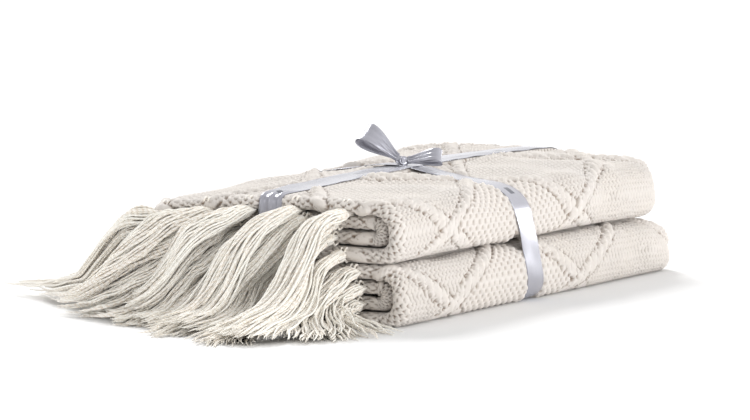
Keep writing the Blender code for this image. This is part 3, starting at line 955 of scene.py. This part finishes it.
def ribbon_piece(name, grid, thickness, ring, along, across, first_mark=None):
    """A strip of ribbon from a grid of points, given a thickness inwards.

    Printed squares repeat along it from the first mark."""
    normal = grid_normals(grid, False)
    rows, columns, _ = grid.shape
    under = (grid - normal * thickness)[:, ::-1]
    section = np.concatenate([grid, under], axis=1)
    points = section.reshape(-1, 3)
    if ring:
        closed = np.concatenate([section, section[:1]])
        quads = tube_quads(len(closed), 2 * columns) % len(points)
        caps = []
    else:
        quads = tube_quads(rows, 2 * columns)
        caps = [np.arange(2 * columns)[::-1], (rows - 1) * 2 * columns + np.arange(2 * columns)]
    piece = new_mesh(name, points, quads, caps)
    if first_mark is None:
        mark = np.ones(rows)
    else:
        mark = np.abs(np.mod(along - first_mark + MARK_PITCH / 2, MARK_PITCH) - MARK_PITCH / 2)
    add_values(piece, (rows, 2 * columns), across=np.concatenate([across, across[::-1]]),
               along=along[:, None], mark=mark[:, None])
    return piece


def band_lift(places, across, spacing, seed, pleats=0.0):
    """How far a band stands off its line: pleats and slow waves, with the edges lower."""
    waves = 0.0005 * wander(places[:, None], 0.02 * across, spacing, seed)
    lift = 0.0006 + pleats + waves - 0.0003 * np.abs(across) ** 3
    return np.maximum(lift, 0.0001)


def place_above(band, low, aim):
    """The place along a band's upper run that is nearest to aim."""
    line, _, places = band
    return places[np.argmin(np.where(line[:, 1] > low, np.abs(line[:, 0] - aim), 1.0))]


def lengthwise_ribbon(material, settings):
    """The band along the stack, drawn into pleats at the tasselled end."""
    band = line, outward, places = lengthwise_line()
    across = np.linspace(-1, 1, RIBBON_COLUMNS)
    half = drawn_in(line[:, :1])
    bunched = (RIBBON_HALF - half) / (RIBBON_HALF - DRAWN_HALF)
    pleats = 0.0016 * np.cos(2.6 * math.pi * across + 0.6) * bunched
    lift = band_lift(places, across, 0.06, 21, pleats)
    x = across * half + 0.0022 * wander(places[:, None], 0 * across, 0.30, 23)
    y = line[:, :1] + outward[:, :1] * lift
    z = np.maximum(line[:, 1:] + outward[:, 1:] * lift, 0.0006)
    grid = np.stack([x + 0 * y, y, z], axis=-1)[:, ::-1]
    piece = ribbon_piece("satin_lengthwise", grid, settings.thickness, True, places,
                         across * RIBBON_HALF, place_above(band, 0.15, MARK_Y))
    return finish_piece(piece, material, "folded_throw", ["ribbon_lengthwise"])


def crosswise_ribbon(material, settings):
    """The band round the stack, over the lengthwise one."""
    band = line, outward, places = crosswise_line()
    across = np.linspace(-1, 1, RIBBON_COLUMNS)
    x0, z0 = line[:, :1], line[:, 1:]
    middle = crosswise_middle(x0, z0)
    pinch = 1 - 0.22 * np.exp(-(x0 / 0.020) ** 2) * (z0 > 0.08)
    lift = band_lift(places, across, 0.05, 31)
    below, _, _ = lengthwise_line()
    top = below[below[:, 1] > 0.09]
    top = top[np.argsort(top[:, 0])]
    over = float(np.interp(CROSSING_Y, top[:, 0], top[:, 1])) + 0.0016 - float(z0.max())
    lift = lift + max(over, 0.0) * np.exp(-(x0 / 0.042) ** 4) * (z0 > 0.09)
    x = x0 + outward[:, :1] * lift
    z = np.maximum(z0 + outward[:, 1:] * lift, 0.0006)
    y = middle + RIBBON_HALF * across * pinch + 0 * x
    grid = np.stack([x, y, z], axis=-1)
    piece = ribbon_piece("satin_crosswise", grid, settings.thickness, True, places,
                         across * RIBBON_HALF, place_above(band, 0.09, MARK_X))
    return finish_piece(piece, material, "folded_throw", ["ribbon_crosswise"])


def bow_centre():
    low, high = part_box("bow_knot")
    return (low + high) / 2 - Vector((0, 0, BOW_DROP))


def satin_loop(end, heading, rise, roll, length, opening, belly, share, material, settings):
    """A teardrop loop of ribbon that leaves the knot at a heading and a rise.

    Belly is how far its lower run sags, as a share of how far its upper run stands, and share
    is how much of the ribbon's width is spread out."""
    aim = (Matrix.Rotation(math.radians(heading), 3, "Z")
           @ Matrix.Rotation(-math.radians(rise), 3, "Y")
           @ Matrix.Rotation(math.radians(roll), 3, "X"))
    turns = np.linspace(0.03, TURN - 0.03, 72)
    across = np.linspace(-1, 1, 21)
    swing = ((1 - np.cos(turns)) / 2)[:, None]
    along = 0.3 * KNOT_SIZE[0] + length * swing ** 0.8
    aside = opening / 2 * np.sin(turns)[:, None] * (0.12 + 0.88 * swing ** 0.7)
    aside = np.where(aside < 0, aside * belly, aside)
    half = 0.0045 + (settings.loop_width / 2 * share - 0.0045) * swing ** 0.62
    gather = (1 - swing) ** 1.5
    pleat = 0.0016 * np.cos(3 * math.pi * across) * gather
    sag = 0.0012 * across ** 2 * swing
    local = np.stack([along + sag + 0 * across, half * across,
                      aside + pleat * np.sign(np.sin(turns))[:, None]], axis=-1)
    grid = np.array(bow_centre()) + local @ np.array(aim).T
    piece = ribbon_piece("satin_loop_" + end, grid, settings.thickness, False,
                         run_length(grid[:, 10]), across * settings.loop_width / 2 * share)
    return finish_piece(piece, material, "bow_loop_" + end, ["bow_loop_" + end])


def satin_knot(material):
    """The pinched wrap of ribbon in the middle of the bow."""
    rings, sides = 40, 56
    tall = np.linspace(0.04, math.pi - 0.04, rings)[:, None]
    round_ = np.linspace(0, TURN, sides, endpoint=False)[None, :]
    folds = 0.80 + 0.20 * np.cos(11 * tall + 0.9 * np.sin(round_ + 0.5) + 0.6 * np.sin(3 * round_))
    a, b = rounded(np.sin(tall), np.cos(tall), 4.0)
    slant = 0.34 * np.cos(round_ + 0.4)
    x = KNOT_SIZE[0] / 2 * (0.48 * b + slant * a)
    y = KNOT_SIZE[1] / 2 * a * np.cos(round_) * folds * 0.72
    z = KNOT_SIZE[2] / 2 * a * np.sin(round_) * folds * 0.80
    points = np.stack([x, y, z], axis=-1).reshape(-1, 3) + np.array(bow_centre())
    caps = [np.arange(sides)[::-1], (rings - 1) * sides + np.arange(sides)]
    piece = new_mesh("satin_knot", points, tube_quads(rings, sides), caps)
    add_values(piece, (rings, sides), across=x, along=round_ * 0.006, mark=1.0)
    return finish_piece(piece, material, "folded_throw", ["bow_knot"])


# Operators

class THROW_OT_stage(bpy.types.Operator):
    """Lay the floor and set up the light and the camera"""
    bl_idname = "throw.stage"
    bl_label = "Stage"

    def execute(self, context):
        settings = context.scene.throw_stage
        corners = [(FLOOR_HALF * x, FLOOR_HALF * y, 0)
                   for x, y in ((-1, -1), (1, -1), (1, 1), (-1, 1))]
        floor = new_mesh("floor", corners, [(0, 1, 2, 3)])
        material = shader_of("pale_floor", Roughness=0.9, Specular_IOR_Level=0.1,
                             Base_Color=(*settings.floor, 1.0))[0]
        floor.data.materials.append(material)
        self.sky(context, settings)
        for name, share, place, size in LAMPS:
            lamp = self.light(context, name, "AREA", settings.key * share,
                              Vector(LAMP_AIM) - Vector(place), shape="RECTANGLE",
                              size=size[0], size_y=size[1])
            lamp.location = place
        self.light(context, "sun", "SUN", settings.sun, Vector(SUN_WAY),
                   angle=math.radians(SUN_ANGLE))
        camera_data = bpy.data.cameras.new("camera")
        camera_data.lens = settings.lens
        camera_data.sensor_width = SENSOR
        camera = bpy.data.objects.new("camera", camera_data)
        camera.location = CAMERA_PLACE
        camera.rotation_euler = [math.radians(turn) for turn in CAMERA_TURN]
        context.scene.collection.objects.link(camera)
        context.scene.camera = camera
        context.scene.view_settings.view_transform = "Standard"
        return {"FINISHED"}

    def sky(self, context, settings):
        """Even white light, stronger from the bright side."""
        world = bpy.data.worlds.new("studio")
        world.use_nodes = True
        tree = world.node_tree
        direction = node(tree, "ShaderNodeTexCoord").outputs["Generated"]
        facing = node(tree, "ShaderNodeVectorMath", direction, Vector(BRIGHT_SIDE).normalized(),
                      operation="DOT_PRODUCT")
        strength = node(tree, "ShaderNodeMapRange", facing.outputs["Value"], *SKY_SPAN,
                        settings.sky * DIM_SIDE, settings.sky)
        background = tree.nodes["Background"]
        feed(background.inputs["Color"], (1.0, 1.0, 1.0, 1.0))
        feed(background.inputs["Strength"], strength.outputs["Result"])
        context.scene.world = world

    def light(self, context, name, kind, energy, way, **values):
        data = bpy.data.lights.new(name, kind)
        data.energy = energy
        for key, value in values.items():
            setattr(data, key, value)
        light = bpy.data.objects.new(name, data)
        light.rotation_euler = way.to_track_quat("-Z", "Y").to_euler()
        context.scene.collection.objects.link(light)
        return light


class THROW_OT_knit(bpy.types.Operator):
    """Knit and fold the panel"""
    bl_idname = "throw.knit"
    bl_label = "Knitted panel"

    def execute(self, context):
        settings = context.scene.throw_knit
        panel = knit_panel(settings)
        finish_piece(panel, knit_material(settings), "folded_throw", ["throw_panel"])
        return {"FINISHED"}


class THROW_OT_fringe(bpy.types.Operator):
    """Make the tassels along both short ends"""
    bl_idname = "throw.fringe"
    bl_label = "Fringe"

    def execute(self, context):
        settings = context.scene.throw_fringe
        material = yarn_material(settings)
        tassels = [yarn_tassel(layer, number, material, settings)
                   for layer in range(LAYERS) for number in range(len(ROOTS_X))]
        return {"FINISHED"}


class THROW_OT_ribbon(bpy.types.Operator):
    """Tie the two ribbon bands and the bow"""
    bl_idname = "throw.ribbon"
    bl_label = "Ribbon and bow"

    def execute(self, context):
        settings = context.scene.throw_ribbon
        material = satin_material(settings)
        lengthwise_ribbon(material, settings)
        crosswise_ribbon(material, settings)
        satin_knot(material)
        satin_loop("back", 200, 34, -42, 0.048, 0.024, 0.8, 0.9, material, settings)
        satin_loop("front", 24, 4, 42, 0.038, 0.021, 0.4, 0.62, material, settings)
        return {"FINISHED"}


class THROW_PT_panel(bpy.types.Panel):
    """Pieces of the throw and their settings"""
    bl_idname = "THROW_PT_panel"
    bl_label = "Folded throw"
    bl_space_type = "VIEW_3D"
    bl_region_type = "UI"
    bl_category = "Throw"

    def draw(self, context):
        for operator, group, _ in STEPS:
            self.layout.operator(operator.bl_idname)
            settings = getattr(context.scene, group)
            for name in settings.bl_rna.properties.keys():
                if name not in ("rna_type", "name"):
                    self.layout.prop(settings, name)


STEPS = (
    (THROW_OT_stage, "throw_stage", ThrowStageSettings),
    (THROW_OT_knit, "throw_knit", ThrowKnitSettings),
    (THROW_OT_fringe, "throw_fringe", ThrowFringeSettings),
    (THROW_OT_ribbon, "throw_ribbon", ThrowRibbonSettings),
)


def register():
    for operator, name, group in STEPS:
        bpy.utils.register_class(group)
        setattr(bpy.types.Scene, name, PointerProperty(type=group))
        bpy.utils.register_class(operator)
    bpy.utils.register_class(THROW_PT_panel)


def unregister():
    bpy.utils.unregister_class(THROW_PT_panel)
    for operator, name, group in STEPS:
        bpy.utils.unregister_class(operator)
        delattr(bpy.types.Scene, name)
        bpy.utils.unregister_class(group)


def main():
    register()
    bpy.ops.throw.stage()
    bpy.ops.throw.knit()
    bpy.ops.throw.fringe()
    bpy.ops.throw.ribbon()


if __name__ == "__main__":
    main()
